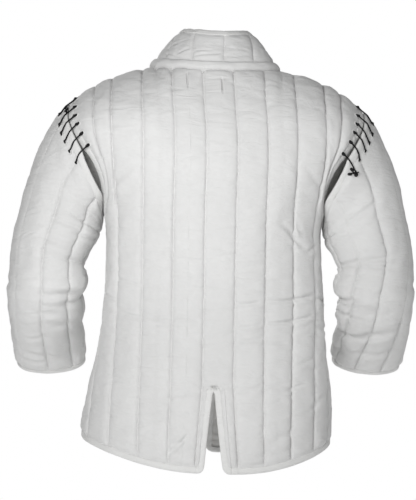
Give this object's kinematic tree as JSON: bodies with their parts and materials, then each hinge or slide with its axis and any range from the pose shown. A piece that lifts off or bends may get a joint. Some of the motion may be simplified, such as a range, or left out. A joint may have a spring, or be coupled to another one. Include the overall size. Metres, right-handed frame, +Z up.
{
  "type": "quilted arming jacket",
  "caption": "Quilted padded jacket worn beneath mail or plate: fitted body with flared vented skirt, conical stand collar and sleeves laced to the armholes, in worn hollow form.",
  "frame": {"origin": "the middle of the neckline, level with the tops of the shoulders beside the collar, where the worn jacket rests", "axes": "+Z is up, the front faces -Y, the back faces +Y, and +X is the wearer's left"},
  "size_m": [0.7272, 0.3423, 0.7787],
  "materials": {
    "cotton_canvas": "matt undyed cotton canvas, quilted in parallel channels",
    "cotton_tape": "matt cotton bias tape, folded and topstitched",
    "black_lace": "black braided round lace with a slight sheen"
  },
  "bodies": {
    "root": {"armhole_binding_left": "cotton_tape", "armhole_binding_right": "cotton_tape", "back": "cotton_canvas", "collar": "cotton_canvas", "collar_binding": "cotton_tape", "collar_welt": "cotton_canvas", "cuff_binding_left": "cotton_tape", "cuff_binding_right": "cotton_tape", "edge_binding_left": "cotton_tape", "edge_binding_right": "cotton_tape", "front_lace_1": "black_lace", "front_lace_2": "black_lace", "front_lace_3": "black_lace", "front_lace_4": "black_lace", "front_lace_5": "black_lace", "front_lace_6": "black_lace", "front_left": "cotton_canvas", "front_right": "cotton_canvas", "lace_left_back_1": "black_lace", "lace_left_back_2": "black_lace", "lace_left_back_3": "black_lace", "lace_left_back_4": "black_lace", "lace_left_back_5": "black_lace", "lace_left_back_6": "black_lace", "lace_left_front_1": "black_lace", "lace_left_front_2": "black_lace", "lace_left_front_3": "black_lace", "lace_left_front_4": "black_lace", "lace_left_front_5": "black_lace", "lace_left_front_6": "black_lace", "lace_right_back_1": "black_lace", "lace_right_back_2": "black_lace", "lace_right_back_3": "black_lace", "lace_right_back_4": "black_lace", "lace_right_back_5": "black_lace", "lace_right_back_6": "black_lace", "lace_right_front_1": "black_lace", "lace_right_front_2": "black_lace", "lace_right_front_3": "black_lace", "lace_right_front_4": "black_lace", "lace_right_front_5": "black_lace", "lace_right_front_6": "black_lace", "sleeve_head_binding_left": "cotton_tape", "sleeve_head_binding_right": "cotton_tape", "sleeve_left": "cotton_canvas", "sleeve_right": "cotton_canvas"}
  },
  "joints": []
}
